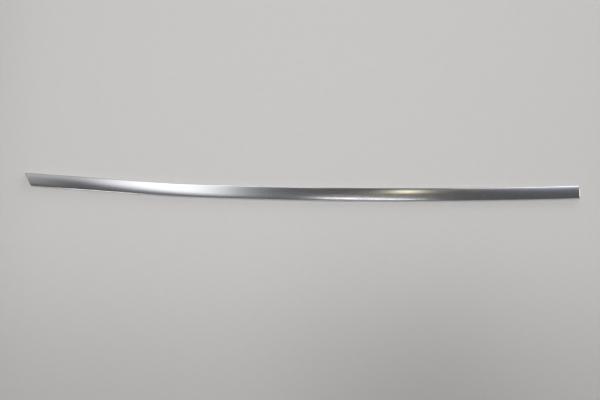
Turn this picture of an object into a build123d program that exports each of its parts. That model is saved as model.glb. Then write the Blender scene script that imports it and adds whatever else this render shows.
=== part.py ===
from build123d import *
from math import atan2, cos, degrees, radians, sin, sqrt, tan
import os

# A window moulding for a car door: one strip of satin aluminium, rolled to a crowned face
# with a flange down each side and a lip turned in under each flange. The lips hold it on its
# retaining clips. The strip is stretch bent in plan, cut to a mitre at one end and pressed
# shut at the other. It lies face up on its lips, and all sizes are in millimetres.

# Plan, along the middle of the face from the mitre to the pressed end
moulding_length = 918.0
straight_length = 174.0     # unbent run beside the mitre
first_bend_length = 123.0
first_bend_radius = 3300.0
second_bend_radius = 9200.0     # the second bend takes the length that is left
pressed_end_length = 6.0        # straight stretch with no lips, where the face shuts the end

# Section
face_width = 22.0       # outside to outside over the two flanges
side_height = 7.4       # underside of the lips to the springing of the crown
crown_rise = 1.6        # middle of the face above its springing
wall = 0.9
edge_bend_radius = 0.8      # inside, between the face and each flange
lip_bend_radius = 0.5       # inside, between each flange and its lip
lip_width = 4.2         # outside of a flange to the tip of its lip

# Ends
end_bend_radius = 1.1       # inside, where the face turns down over the pressed end
mitre_angle = 31.0      # from a square cut
dressed_edge_radius = 0.4       # filed round the outside of the mitre cut

half_width = face_width / 2
crown_height = side_height + crown_rise
crown_radius = (half_width**2 + crown_rise**2) / (2 * crown_rise)
crown_centre = crown_height - crown_radius
along = Plane(origin=(0, 0, 0), x_dir=(0, 1, 0), z_dir=(1, 0, 0))


def crowned_outline(inset, bottom):
    """The section's outline, moved in by inset, filled in, and square at its bottom corners."""
    half = half_width - inset
    springing = crown_centre + sqrt((crown_radius - inset) ** 2 - half**2)
    sides = Polyline((half, springing), (half, bottom), (-half, bottom), (-half, springing))
    crown = ThreePointArc((-half, springing), (0, crown_height - inset), (half, springing))
    outline = make_face(sides + crown)
    return fillet(outline.vertices().group_by(Axis.Y)[-1], edge_bend_radius + wall - inset)


def round_bottom(outline, radius):
    """Rounds the two bottom corners of an outline, where the lips turn in."""
    return fillet(outline.vertices().group_by(Axis.Y)[0], radius)


def rolled_section():
    """The section that the strip is rolled to: face, flanges and lips, all of one wall."""
    outside = round_bottom(crowned_outline(0, 0), lip_bend_radius + wall)
    channel = round_bottom(crowned_outline(wall, wall), lip_bend_radius)
    mouth = Pos(0, wall / 2) * Rectangle(face_width - 2 * lip_width, 2 * wall)
    return outside - channel - mouth


def bent_strip():
    """The rolled strip over its straight run and both bends, and where it ends in plan."""
    section = rolled_section()
    before_mitre = face_width * tan(radians(mitre_angle))
    straight = extrude(along * section, before_mitre + straight_length)
    strip = Pos(-before_mitre, 0, 0) * straight
    rest_length = moulding_length - straight_length - first_bend_length - pressed_end_length
    bends = [(first_bend_length, first_bend_radius), (rest_length, second_bend_radius)]
    place = Pos(straight_length, 0, 0)
    for length, radius in bends:
        turn = degrees(length / radius)
        bend = revolve(along * section, Axis((0, radius, 0), (0, 0, 1)), turn)
        strip = strip + place * bend
        place = place * Pos(0, radius, 0) * Rot(0, 0, turn) * Pos(0, -radius, 0)
    return strip, place


def pressed_stretch(inset, bottom, radius):
    """The last stretch, moved in by inset and filled in, with its face turned down over the end."""
    length = pressed_end_length - inset
    crown = extrude(along * Pos(0, crown_centre) * Circle(crown_radius - inset), length)
    turned_down = fillet(crown.edges().sort_by(Axis.X)[-1], radius)
    return turned_down & extrude(along * crowned_outline(inset, bottom), length)


def pressed_end():
    """The last stretch, with the face pressed down to the floor to shut the end."""
    inside = pressed_stretch(wall, -wall, end_bend_radius)
    return pressed_stretch(0, 0, end_bend_radius + wall) - inside


def cut_mitre(strip):
    """Saws the near end to its mitre and files the outer edge of the cut."""
    angle = radians(mitre_angle)
    saw = Plane(origin=(0, 0, 0), x_dir=(0, 0, 1), z_dir=(cos(angle), sin(angle), 0))
    strip = split(strip, bisect_by=saw, keep=Keep.TOP)
    cut = strip.faces().filter_by(lambda face: abs(saw.to_local_coords(face.center()).Z) < wall / 10)
    face_edge = cut.edges().sort_by(Axis.Z)[-1]
    return fillet(face_edge, dressed_edge_radius)


def window_moulding():
    """The whole moulding, with the chord between its two ends along X."""
    strip, place = bent_strip()
    strip = cut_mitre(strip) + place * pressed_end()
    tip = (place * Pos(pressed_end_length, 0, 0)).position
    return Rot(0, 0, -degrees(atan2(tip.Y, tip.X))) * strip


moulding = window_moulding()
box = moulding.bounding_box()
moulding = Pos(-box.center().X, -box.center().Y, -box.min.Z) * moulding

os.makedirs("parts", exist_ok=True)
export_step(moulding, "parts/window_moulding.step")
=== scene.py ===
from math import acos, atan2, cos, exp, pi, radians, sin, sqrt, tan

import bmesh
import bpy
from mathutils import Matrix, Vector


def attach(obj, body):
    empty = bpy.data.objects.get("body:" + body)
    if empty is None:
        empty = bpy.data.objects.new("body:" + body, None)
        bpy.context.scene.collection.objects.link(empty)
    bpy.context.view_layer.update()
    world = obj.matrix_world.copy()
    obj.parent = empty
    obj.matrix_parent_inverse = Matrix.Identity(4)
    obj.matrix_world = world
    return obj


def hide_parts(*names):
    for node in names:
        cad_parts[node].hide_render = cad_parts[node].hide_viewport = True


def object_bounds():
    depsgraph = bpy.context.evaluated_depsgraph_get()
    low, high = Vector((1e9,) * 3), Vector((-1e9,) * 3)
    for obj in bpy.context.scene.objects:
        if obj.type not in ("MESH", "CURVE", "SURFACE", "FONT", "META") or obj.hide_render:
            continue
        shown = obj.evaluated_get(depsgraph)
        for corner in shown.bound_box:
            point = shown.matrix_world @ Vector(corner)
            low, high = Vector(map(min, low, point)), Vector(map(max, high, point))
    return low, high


# A window moulding lying face up on pale paper. Sizes are in metres, in the CAD model's frame.
# The shape is the CAD model's own, rebuilt with a finer skin so that its reflections run true.

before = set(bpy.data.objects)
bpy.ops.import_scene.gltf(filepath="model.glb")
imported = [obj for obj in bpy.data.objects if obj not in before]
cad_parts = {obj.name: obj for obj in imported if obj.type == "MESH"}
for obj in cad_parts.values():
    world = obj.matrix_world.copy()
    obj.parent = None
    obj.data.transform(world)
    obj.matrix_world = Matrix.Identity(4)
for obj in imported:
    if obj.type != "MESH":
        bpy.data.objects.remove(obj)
cad_low, cad_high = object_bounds()

# Plan, along the middle of the face from the mitre to the pressed end
moulding_length = 0.918
straight_length = 0.174
first_bend_length = 0.123
first_bend_radius = 3.300
second_bend_radius = 9.200
pressed_end_length = 0.006

# Section
face_width = 0.022
side_height = 0.0074
crown_rise = 0.0016
wall = 0.0009
edge_bend_radius = 0.0008
lip_bend_radius = 0.0005
lip_width = 0.0042

# Ends
end_bend_radius = 0.0011
mitre_angle = radians(31)
dressed_edge_radius = 0.0004

# How finely the skin is divided
station_step = 0.004
crown_steps = 28
bend_steps = 8
round_steps = 6
end_steps = 9
same_point = 1e-7       # corners of a face nearer than this are one corner
weld_distance = 1e-6    # points of neighbouring faces nearer than this are one point
sharp_angle = radians(32)

half_width = face_width / 2
crown_height = side_height + crown_rise
crown_radius = (half_width ** 2 + crown_rise ** 2) / (2 * crown_rise)
crown_centre = crown_height - crown_radius
outer_edge_radius = edge_bend_radius + wall
outer_lip_radius = lip_bend_radius + wall
outer_end_radius = end_bend_radius + wall


# Plan

def on_middle_line(distance):
    """The point and heading of the middle line at a distance from the mitre."""
    second_bend_length = moulding_length - straight_length - first_bend_length - pressed_end_length
    bends = [(first_bend_length, first_bend_radius), (second_bend_length, second_bend_radius)]
    x = min(distance, straight_length)
    y = 0.0
    heading = 0.0
    left = distance - straight_length
    for length, radius in bends:
        turn = min(max(left, 0.0), length) / radius
        x += radius * (sin(heading + turn) - sin(heading))
        y += radius * (cos(heading) - cos(heading + turn))
        heading += turn
        left -= length
    left = max(left, 0.0)
    return x + left * cos(heading), y + left * sin(heading), heading


tip_x, tip_y, tip_heading = on_middle_line(moulding_length)
along_chord = Matrix.Rotation(-atan2(tip_y, tip_x), 4, "Z")


def place(distance, across, height):
    """A point of the strip, with the chord between its ends along X."""
    x, y, heading = on_middle_line(distance)
    return along_chord @ Vector((x - across * sin(heading), y + across * cos(heading), height))


# Section, as pairs of an outer point and its outward direction, from the north side to the south

def arc(centre, radius, start, stop, steps):
    """Outer points and outward directions along an arc, by angles from the across axis."""
    run = []
    for step in range(steps + 1):
        angle = start + (stop - start) * step / steps
        outward = (cos(angle), sin(angle))
        run.append(((centre[0] + radius * outward[0], centre[1] + radius * outward[1]), outward))
    return run


def mirrored(run):
    """The same run on the other side, in the opposite order."""
    return [((-point[0], point[1]), (-outward[0], outward[1])) for point, outward in reversed(run)]


def face_run(inset=0.0, lowered=0.0):
    """From the top of one lip bend over the face to the top of the other.

    The run can be moved in by inset, and its crown lowered, as where it turns down over an end.
    """
    side = half_width - inset
    bend_radius = outer_edge_radius - inset
    bend_across = half_width - outer_edge_radius
    reach = crown_radius - outer_edge_radius
    bend_height = crown_centre + sqrt(reach ** 2 - bend_across ** 2)
    crown_reach = crown_radius - inset - lowered

    # The bend goes up to the crown, or the crown meets the flange below it
    cosine = (crown_reach ** 2 - reach ** 2 - bend_radius ** 2) / (2 * reach * bend_radius)
    bend_stop = acos(bend_across / reach) - acos(max(-1.0, min(cosine, 1.0)))
    if bend_stop > 0:
        bend = arc((bend_across, bend_height), bend_radius, 0.0, bend_stop, bend_steps)
    else:
        meets_at = (side, crown_centre + sqrt(crown_reach ** 2 - side ** 2))
        bend = [(meets_at, (1.0, 0.0))] * (bend_steps + 1)
    across, height = bend[-1][0]
    crown_start = atan2(height - crown_centre, across)
    crown = arc((0.0, crown_centre), crown_reach, crown_start, pi - crown_start, crown_steps)

    flange = [((side, outer_lip_radius), (1.0, 0.0)),
              ((side, (outer_lip_radius + bend_height) / 2), (1.0, 0.0))]
    return flange + bend + crown[1:-1] + mirrored(flange + bend)


def lip_run():
    """From a lip's tip to the top of its bend, on the north side."""
    bend_centre = (half_width - outer_lip_radius, outer_lip_radius)
    tip = [((half_width - lip_width, 0.0), (0.0, -1.0))]
    return tip + arc(bend_centre, outer_lip_radius, -pi / 2, 0.0, round_steps)


def foot_run():
    """The foot of a flange where the end is pressed shut, on the north side."""
    return [((half_width, 0.0), (1.0, 0.0)), ((half_width, outer_lip_radius), (1.0, 0.0))]


# Skin

class Skin:
    """Collects faces, with their places along and around the strip as UVs in metres."""

    def __init__(self):
        self.mesh = bmesh.new()
        self.uv = self.mesh.loops.layers.uv.new("along_and_around")

    def face(self, corners):
        """One face from (point, (along, around)) corners; corners that fall together are merged."""
        kept = []
        for corner in corners:
            if all((corner[0] - other[0]).length > same_point for other in kept):
                kept.append(corner)
        if len(kept) < 3:
            return
        face = self.mesh.faces.new([self.mesh.verts.new(point) for point, _ in kept])
        for loop, (_, place_on_strip) in zip(face.loops, kept):
            loop[self.uv].uv = place_on_strip

    def grid(self, rows, flip=False):
        """Faces between neighbouring rows of corners."""
        for near, far in zip(rows, rows[1:]):
            for i in range(len(near) - 1):
                corners = [near[i], near[i + 1], far[i + 1], far[i]]
                self.face(corners[::-1] if flip else corners)


def lengths_along(run):
    """Distance around the section to each outer point of a run."""
    total = 0.0
    lengths = [0.0]
    for (point, _), (following, _) in zip(run, run[1:]):
        total += sqrt((following[0] - point[0]) ** 2 + (following[1] - point[1]) ** 2)
        lengths.append(total)
    return lengths


def row(run, station, inset, around_from):
    """The corners of a run at one station, moved in by inset.

    A station is a distance from the mitre's middle, and how much of the mitre's slant it has.
    """
    distance, slant = station
    corners = []
    for (point, outward), around in zip(run, lengths_along(run)):
        across = point[0] - inset * outward[0]
        height = point[1] - inset * outward[1]
        along = distance - slant * across * tan(mitre_angle)
        corners.append((place(along, across, height), (along, around_from + around)))
    return corners


def dressed_row(run, part, around_from):
    """The corners of a run on the dressed edge, from the mitre cut at part 0 to the side at 1."""
    cut = Vector((-cos(mitre_angle), -sin(mitre_angle), 0.0))
    corners = []
    for (point, outward), around in zip(run, lengths_along(run)):
        side = Vector((0.0, *outward))
        edge = Vector((-point[0] * tan(mitre_angle), *point))
        between = cut.angle(side)
        middle = edge - dressed_edge_radius * (cut + side) / (1 + cos(between))
        facing = (sin((1 - part) * between) * cut + sin(part * between) * side) / sin(between)
        corner = middle + dressed_edge_radius * facing
        corners.append((place(*corner), (corner.x, around_from + around)))
    return corners


def stations(stop):
    """Stations from just inside the mitre cut, turning square along the strip, to a square stop."""
    slant_from = 0.001
    square_from = 0.012
    turning_steps = 5
    rows = []
    for i in range(turning_steps + 1):
        distance = slant_from + (square_from - slant_from) * i / turning_steps
        rows.append((distance, 1 - i / turning_steps))
    count = round((stop - square_from) / station_step)
    for i in range(1, count + 1):
        rows.append((square_from + (stop - square_from) * i / count, 0.0))
    return rows


def mitred_wall(skin, run, stop, around_from, end_rows=()):
    """Outer and inner skins of a run from the mitre cut to a square stop, and over any end rows."""
    outer = [dressed_row(run, i / round_steps, around_from) for i in range(round_steps + 1)]
    inner = [row(run, (0.0, 1.0), wall, around_from)] * len(outer)
    return wall_between(skin, run, stations(stop), around_from, end_rows, outer, inner)


def wall_between(skin, run, along_strip, around_from, end_rows=(), outer=(), inner=()):
    """Outer and inner skins of a run over its stations, between any rows given and any end rows."""
    outer = [*outer, *(row(run, station, 0.0, around_from) for station in along_strip)]
    inner = [*inner, *(row(run, station, wall, around_from) for station in along_strip)]
    for outer_end, inner_end in end_rows:
        outer.append(outer_end)
        inner.append(inner_end)
    skin.grid(outer)
    skin.grid(inner, flip=True)
    return outer, inner


def close_tip(skin, outer, inner, tip):
    """Closes a wall along its free edge, at the first or the last corner of its rows."""
    skin.grid([[corners[tip] for corners in side] for side in (outer, inner)], flip=tip == -1)


def build_moulding():
    """The whole strip as one skin."""
    skin = Skin()
    shut_from = moulding_length - pressed_end_length
    face = face_run()
    north_lip = lip_run()
    south_lip = mirrored(north_lip)
    north_foot = foot_run()
    south_foot = mirrored(north_foot)
    lip_length = lengths_along(north_lip)[-1]
    foot_length = lengths_along(north_foot)[-1]
    south_from = lip_length + lengths_along(face)[-1]

    # Face and flanges, from the mitre to the pressed end
    outer, inner = mitred_wall(skin, face, shut_from, lip_length, turned_down_rows(lip_length))
    skin.grid([inner[0], outer[0]])
    ladder(skin, outer[-1])
    ladder(skin, inner[-1], flip=True)

    # Lips
    for lip, tip, around_from in ((north_lip, 0, 0.0), (south_lip, -1, south_from)):
        outer, inner = mitred_wall(skin, lip, shut_from, around_from)
        skin.grid([inner[0], outer[0]])
        skin.grid([outer[-1], inner[-1]])
        close_tip(skin, outer, inner, tip)

    # Feet of the flanges, and of the end wall between them, where the end is pressed shut
    feet = []
    north_from = lip_length - foot_length
    for foot, tip, around_from in ((north_foot, 0, north_from), (south_foot, -1, south_from)):
        end_rows = foot_rows(foot, around_from)
        outer, inner = wall_between(skin, foot, [(shut_from, 0.0)], around_from, end_rows)
        skin.grid([inner[0], outer[0]])
        close_tip(skin, outer, inner, tip)
        feet.append((outer[-1], inner[-1]))
    (north_outer, north_inner), (south_outer, south_inner) = feet
    ladder(skin, north_outer + south_outer)
    ladder(skin, north_inner + south_inner, flip=True)
    skin.face([north_outer[0], south_outer[-1], south_inner[-1], north_inner[0]])
    return skin


def end_turns():
    """Sine and cosine of the turn at each row of the pressed end."""
    turns = [pi / 2 * i / end_steps for i in range(end_steps + 1)]
    return [(sin(turn), cos(turn)) for turn in turns]


def turned_down_rows(around_from):
    """Outer and inner rows of the face and flanges where the face turns down over the end."""
    straight_to = moulding_length - outer_end_radius
    rows = []
    for sine, cosine in end_turns():
        pair = []
        for radius, inset in ((outer_end_radius, 0.0), (end_bend_radius, wall)):
            run = face_run(inset, radius * (1 - cosine))
            pair.append(row(run, (straight_to + radius * sine, 0.0), 0.0, around_from))
        rows.append(pair)
    return rows


def foot_rows(foot, around_from):
    """Outer and inner rows of a flange's foot, below those of the face and flanges."""
    straight_to = moulding_length - outer_end_radius
    rows = []
    for sine, _ in end_turns():
        outer = row(foot, (straight_to + outer_end_radius * sine, 0.0), 0.0, around_from)
        inner = row(foot, (straight_to + end_bend_radius * sine, 0.0), wall, around_from)
        rows.append((outer, inner))
    return rows


def ladder(skin, corners, flip=False):
    """Fills the flat end wall between the two sides of its outline, with its grain upright."""
    upright = [(point, (moulding_length - point.z, point.y)) for point, _ in corners]
    for i in range(len(upright) // 2):
        j = len(upright) - 1 - i
        quad = [upright[i], upright[i + 1], upright[j - 1], upright[j]]
        skin.face(quad[::-1] if flip else quad)


def satin_aluminium():
    """Satin aluminium, smoother along the strip than across it, with a fine grain along it."""
    material = bpy.data.materials.new("satin_aluminium")
    material.use_nodes = True
    nodes = material.node_tree.nodes
    links = material.node_tree.links
    shader = nodes["Principled BSDF"]
    shader.inputs["Metallic"].default_value = 1.0
    shader.inputs["Anisotropic"].default_value = 0.8
    shader.inputs["Anisotropic Rotation"].default_value = 0.25

    places = nodes.new("ShaderNodeUVMap")
    places.uv_map = "along_and_around"
    tangent = nodes.new("ShaderNodeTangent")
    tangent.direction_type = "UV_MAP"
    tangent.uv_map = "along_and_around"
    links.new(tangent.outputs["Tangent"], shader.inputs["Tangent"])

    def streaks(along, around, detail):
        """Noise drawn out along the strip: features per metre along it and around it."""
        mapping = nodes.new("ShaderNodeMapping")
        mapping.inputs["Scale"].default_value = (along, around, 1.0)
        links.new(places.outputs["UV"], mapping.inputs["Vector"])
        noise = nodes.new("ShaderNodeTexNoise")
        noise.inputs["Scale"].default_value = 1.0
        noise.inputs["Detail"].default_value = detail
        links.new(mapping.outputs["Vector"], noise.inputs["Vector"])
        return noise.outputs["Fac"]

    grain = streaks(along=25, around=3000, detail=4)
    cloud = streaks(along=14, around=60, detail=2)

    tone = nodes.new("ShaderNodeMix")
    tone.data_type = "RGBA"
    tone.inputs["A"].default_value = (0.71, 0.71, 0.72, 1)
    tone.inputs["B"].default_value = (0.85, 0.85, 0.86, 1)
    links.new(grain, tone.inputs["Factor"])
    links.new(tone.outputs["Result"], shader.inputs["Base Color"])

    rough = nodes.new("ShaderNodeMapRange")
    rough.inputs["To Min"].default_value = 0.15
    rough.inputs["To Max"].default_value = 0.19
    links.new(cloud, rough.inputs["Value"])
    links.new(rough.outputs["Result"], shader.inputs["Roughness"])

    bump = nodes.new("ShaderNodeBump")
    bump.inputs["Strength"].default_value = 0.15
    bump.inputs["Distance"].default_value = 0.00002
    links.new(grain, bump.inputs["Height"])
    links.new(bump.outputs["Normal"], shader.inputs["Normal"])
    return material


def add_moulding():
    """Builds the strip in place of its CAD node."""
    skin = build_moulding()
    bmesh.ops.remove_doubles(skin.mesh, verts=skin.mesh.verts, dist=weld_distance)
    mesh = bpy.data.meshes.new("window_moulding_skin")
    skin.mesh.to_mesh(mesh)
    skin.mesh.free()
    mesh.shade_smooth()
    mesh.set_sharp_from_angle(angle=sharp_angle)
    moulding = bpy.data.objects.new("window_moulding_skin", mesh)
    bpy.context.collection.objects.link(moulding)

    # Into the frame, filling the CAD model's box
    low = Vector([min(v.co[i] for v in mesh.vertices) for i in range(3)])
    high = Vector([max(v.co[i] for v in mesh.vertices) for i in range(3)])
    fit = [(cad_high[i] - cad_low[i]) / (high[i] - low[i]) for i in range(3)]
    to_box = Matrix.Translation(cad_low) @ Matrix.Diagonal((*fit, 1.0))
    mesh.transform(to_box @ Matrix.Translation(-low))
    mesh.materials.append(satin_aluminium())
    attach(moulding, "root")
    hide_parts("window_moulding")


def pale_paper():
    """Pale matt paper, with a faint fibre tone."""
    material = bpy.data.materials.new("pale_paper")
    material.use_nodes = True
    nodes = material.node_tree.nodes
    links = material.node_tree.links
    shader = nodes["Principled BSDF"]
    shader.inputs["Roughness"].default_value = 0.9
    shader.inputs["Specular IOR Level"].default_value = 0.1
    where = nodes.new("ShaderNodeTexCoord")
    fibre = nodes.new("ShaderNodeTexNoise")
    fibre.inputs["Scale"].default_value = 90
    fibre.inputs["Detail"].default_value = 3
    links.new(where.outputs["Object"], fibre.inputs["Vector"])
    tone = nodes.new("ShaderNodeMix")
    tone.data_type = "RGBA"
    tone.inputs["A"].default_value = (0.735, 0.715, 0.705, 1)
    tone.inputs["B"].default_value = (0.765, 0.745, 0.735, 1)
    links.new(fibre.outputs["Fac"], tone.inputs["Factor"])
    links.new(tone.outputs["Result"], shader.inputs["Base Color"])
    return material


def add_floor():
    """A wide sheet of paper for the moulding to lie on."""
    half_size = 4.0
    paper = bmesh.new()
    bmesh.ops.create_grid(paper, x_segments=2, y_segments=2, size=half_size)
    mesh = bpy.data.meshes.new("paper")
    paper.to_mesh(mesh)
    paper.free()
    floor = bpy.data.objects.new("paper", mesh)
    bpy.context.collection.objects.link(floor)
    mesh.materials.append(pale_paper())


def aim(thing, target):
    """Points an object's -Z at a target."""
    thing.rotation_mode = "QUATERNION"
    thing.rotation_quaternion = (Vector(target) - thing.location).to_track_quat("-Z", "Y")


def add_camera():
    """Looks down on the strip, with the strip's slope in the picture as a small roll."""
    picture_centre = Vector((-0.0033, -0.0169, 0.0))
    roll = 0.0230
    elevation = radians(85)
    distance = 1.353
    north = Vector((-sin(roll), cos(roll), 0.0))
    right = Vector((cos(roll), sin(roll), 0.0))
    camera = bpy.data.objects.new("camera", bpy.data.cameras.new("camera"))
    bpy.context.collection.objects.link(camera)
    back = -north * cos(elevation) + Vector((0, 0, sin(elevation)))
    up = back.cross(right)
    turn = Matrix((right, up, back)).transposed()
    camera.matrix_world = Matrix.Translation(picture_centre + back * distance) @ turn.to_4x4()
    camera.data.sensor_width = 36.0
    camera.data.lens = 48.7
    camera.data.clip_start = 0.01
    bpy.context.scene.camera = camera


def add_light(name, at, size, radiance):
    """A soft light panel that faces the strip."""
    light = bpy.data.lights.new(name, "AREA")
    light.shape = "RECTANGLE"
    light.size, light.size_y = size
    light.energy = radiance * pi * size[0] * size[1]
    panel = bpy.data.objects.new(name, light)
    bpy.context.collection.objects.link(panel)
    panel.location = at
    aim(panel, (0.0, 0.0, 0.0))
    panel.visible_camera = False
    return panel


def add_lights():
    """Soft light on the paper, mostly from above, and windows for the metal to reflect."""
    paper_lights = [
        add_light("overhead", at=(-0.20, 0.12, 2.4), size=(0.9, 1.0), radiance=11.7),
        add_light("key", at=(1.76, 2.56, 1.2), size=(2.2, 1.6), radiance=2.6),
    ]
    for light in paper_lights:
        light.visible_glossy = False
    windows = [
        add_light("north_window", at=(-0.16, 2.3, 1.4), size=(0.50, 0.8), radiance=3.0),
        add_light("south_window", at=(-0.95, -2.0, 0.45), size=(0.34, 0.5), radiance=5.0),
        add_light("east_window", at=(1.35, 2.1, 1.7), size=(1.05, 1.6), radiance=1.6),
        add_light("end_window", at=(2.2, 0.08, 1.6), size=(1.6, 1.2), radiance=3.0),
    ]
    for window in windows:
        window.visible_diffuse = False


def rise(value, start, width, low=0.0):
    """Goes smoothly from low to 1 as value passes start."""
    furthest = 40.0     # in widths from start, past which nothing changes
    steps = max(-furthest, min(furthest, (value - start) / width))
    return low + (1 - low) / (1 + exp(-steps))


def bell(value, centre, width):
    """1 at the centre, falling off smoothly over width."""
    return exp(-((value - centre) / width) ** 2)


def skylight_share(x, y):
    """How much of the skylight shows at a place, from 0 to 1."""
    west_end = -0.92
    edge = -0.68 + 1.46 * exp(-(max(x, west_end) - west_end) / 0.27)
    blur = 0.09 + 0.12 * rise(-x, start=0.60, width=0.06)
    east_fade = rise(-x, start=0.330, width=0.058)
    west_fade = rise(x, start=-0.80, width=0.05, low=0.35)
    far_fade = rise(x, start=-1.05, width=0.04, low=0.35)
    return rise(y, start=edge, width=blur) * east_fade * west_fade * far_fade


def tube_glow(x, y):
    """The long tube, which slants a little, and the haze beside it."""
    length = rise(x, start=0.085, width=0.022) * rise(-x, start=-0.50, width=0.035)
    tube_y = -0.58 - 0.4 * (x - 0.12)
    tube = 4.6 * bell(y, centre=tube_y, width=0.07)
    haze = 0.20 * bell(y, centre=-0.25, width=0.32)
    return (tube + haze) * length


def faint_glow(x, y):
    """Light on the bare ceiling: in the far west, and just west of the tube."""
    far_west = 0.24 * rise(y, start=-0.45, width=0.12) * rise(-x, start=1.05, width=0.025)
    dusk_length = rise(-x, start=-0.02, width=0.06) * rise(x, start=-0.42, width=0.04)
    dusk = 0.07 * bell(y, centre=-0.35, width=0.50) * dusk_length
    return far_west + dusk


def lamp_glow(x, y):
    """The lamp and its wider halo."""
    lamp_y = 0.71 + 1.6 * (x - 0.43)
    lamp = 3.6 * bell(x, centre=0.436, width=0.038)
    halo = 0.25 * bell(x, centre=0.42, width=0.16)
    return (lamp + halo) * bell(y, centre=lamp_y, width=0.24)


def ceiling_glow(x, y):
    """How bright the ceiling is at a place, as a colour."""
    share = skylight_share(x, y)
    sky = 1.4 * share
    sky_edge = sky * (1 - share) * rise(x, start=-0.93, width=0.04)
    north_east = 0.25 * rise(y, start=1.0, width=0.30) * rise(x, start=0.88, width=0.05)
    lamp = lamp_glow(x, y)
    white = sky + tube_glow(x, y) + faint_glow(x, y) + north_east
    red = white + lamp - 0.05 * sky_edge
    green = white + 0.93 * lamp
    blue = white + 0.64 * lamp + 0.10 * sky_edge + 0.45 * north_east
    return red, green, blue


def clear_glow():
    """Gives off the light that a mesh keeps as glow, and lets everything behind it through."""
    material = bpy.data.materials.new("ceiling_glow")
    material.use_nodes = True
    nodes = material.node_tree.nodes
    links = material.node_tree.links
    nodes.clear()
    level = nodes.new("ShaderNodeAttribute")
    level.attribute_name = "glow"
    emission = nodes.new("ShaderNodeEmission")
    clear = nodes.new("ShaderNodeBsdfTransparent")
    both = nodes.new("ShaderNodeAddShader")
    output = nodes.new("ShaderNodeOutputMaterial")
    links.new(level.outputs["Color"], emission.inputs["Color"])
    links.new(emission.outputs["Emission"], both.inputs[0])
    links.new(clear.outputs["BSDF"], both.inputs[1])
    links.new(both.outputs["Shader"], output.inputs["Surface"])
    material.cycles.emission_sampling = "NONE"
    return material


def add_ceiling():
    """A ceiling that only the metal sees: a skylight, a long tube and a warm lamp glow in it."""
    middle = (0.0, 0.7, 2.0)
    step = 0.03
    columns = 120
    rows = 130
    sheet = bmesh.new()
    bmesh.ops.create_grid(sheet, x_segments=columns, y_segments=rows, size=0.5)
    stretch = Matrix.Diagonal((columns * step, rows * step, 1.0, 1.0))
    bmesh.ops.transform(sheet, matrix=stretch, verts=sheet.verts)
    bmesh.ops.translate(sheet, vec=middle, verts=sheet.verts)
    mesh = bpy.data.meshes.new("ceiling")
    sheet.to_mesh(mesh)
    sheet.free()
    glow = mesh.attributes.new("glow", "FLOAT_COLOR", "POINT")
    for vertex, level in zip(mesh.vertices, glow.data):
        level.color = (*ceiling_glow(vertex.co.x, vertex.co.y), 1.0)
    mesh.materials.append(clear_glow())

    ceiling = bpy.data.objects.new("ceiling", mesh)
    bpy.context.collection.objects.link(ceiling)
    ceiling.visible_camera = False
    ceiling.visible_diffuse = False
    ceiling.visible_shadow = False


def add_scrim(name, low, high, height, passes):
    """A level sheet of net, from low to high in plan, that takes some light from the paper."""
    material = bpy.data.materials.new(name)
    material.use_nodes = True
    nodes = material.node_tree.nodes
    nodes.clear()
    net = nodes.new("ShaderNodeBsdfTransparent")
    net.inputs["Color"].default_value = (*passes, 1.0)
    output = nodes.new("ShaderNodeOutputMaterial")
    material.node_tree.links.new(net.outputs["BSDF"], output.inputs["Surface"])
    (west, south), (east, north) = low, high
    mesh = bpy.data.meshes.new(name)
    plan = [(west, south), (east, south), (east, north), (west, north)]
    mesh.from_pydata([(x, y, height) for x, y in plan], [], [(0, 1, 2, 3)])
    mesh.materials.append(material)
    scrim = bpy.data.objects.new(name, mesh)
    bpy.context.collection.objects.link(scrim)
    scrim.visible_camera = False
    scrim.visible_glossy = False
    scrim.visible_diffuse = False


def add_scrims():
    """Nets that shade the near side of the paper, its middle most, and its west end."""
    add_scrim("near_scrim", low=(-1.60, -2.20), high=(1.60, -0.148), height=0.60,
              passes=(0.71, 0.705, 0.695))
    add_scrim("middle_scrim", low=(-0.02, -2.20), high=(0.25, -0.10), height=0.60,
              passes=(0.67, 0.66, 0.64))
    add_scrim("west_scrim", low=(-1.00, -1.00), high=(-0.475, 1.00), height=0.30,
              passes=(0.84, 0.84, 0.84))


def add_room():
    """A dim room, lighter towards the horizon."""
    world = bpy.data.worlds.new("room")
    bpy.context.scene.world = world
    world.use_nodes = True
    nodes = world.node_tree.nodes
    links = world.node_tree.links
    where = nodes.new("ShaderNodeTexCoord")
    split = nodes.new("ShaderNodeSeparateXYZ")
    links.new(where.outputs["Generated"], split.inputs["Vector"])
    level = nodes.new("ShaderNodeMapRange")
    level.inputs["From Min"].default_value = 0.1
    level.inputs["From Max"].default_value = 0.8
    level.inputs["To Min"].default_value = 0.25
    level.inputs["To Max"].default_value = 0.10
    links.new(split.outputs["Z"], level.inputs["Value"])
    background = nodes["Background"]
    links.new(level.outputs["Result"], background.inputs["Strength"])
    background.inputs["Color"].default_value = (0.98, 0.98, 1.0, 1.0)


add_moulding()
add_floor()
add_camera()
add_lights()
add_ceiling()
add_scrims()
add_room()

scene = bpy.context.scene
scene.view_settings.view_transform = "Standard"
